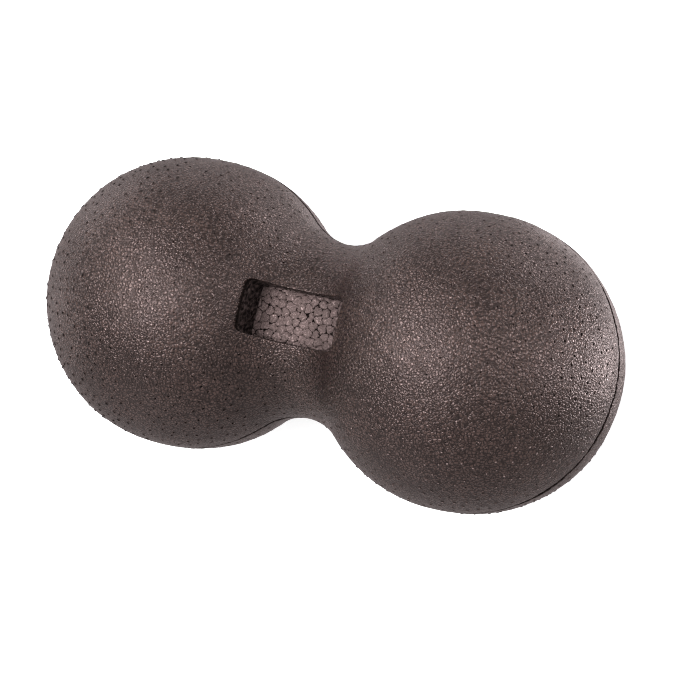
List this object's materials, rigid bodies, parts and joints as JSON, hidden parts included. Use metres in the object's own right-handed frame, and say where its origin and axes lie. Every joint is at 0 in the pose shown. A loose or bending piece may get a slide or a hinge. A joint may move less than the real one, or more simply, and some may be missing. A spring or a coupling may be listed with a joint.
{
  "type": "double massage ball",
  "caption": "Peanut-shaped foam massage ball: two round grained lobes joined by a narrow waist with a shallow rectangular pocket, moulded in halves that meet at a groove.",
  "frame": {"origin": "middle of the waist on the long axis, which is also the centre of the whole ball's box", "axes": "+X along the ball from lobe to lobe, +Y across it, +Z out of the pocket's mouth; the halves meet at Z = 0"},
  "size_m": [0.1648, 0.08, 0.08],
  "materials": {
    "moulded_skin": "dense moulded foam skin, fine leather-like grain, satin",
    "bead_foam": "packed foam beads, matte",
    "joint": "dark welded joint, matte"
  },
  "bodies": {
    "root": {"upper_skin": "moulded_skin", "lower_skin": "moulded_skin", "upper_foam_core": "bead_foam", "lower_foam_core": "bead_foam", "bond_line": "joint"}
  },
  "joints": []
}
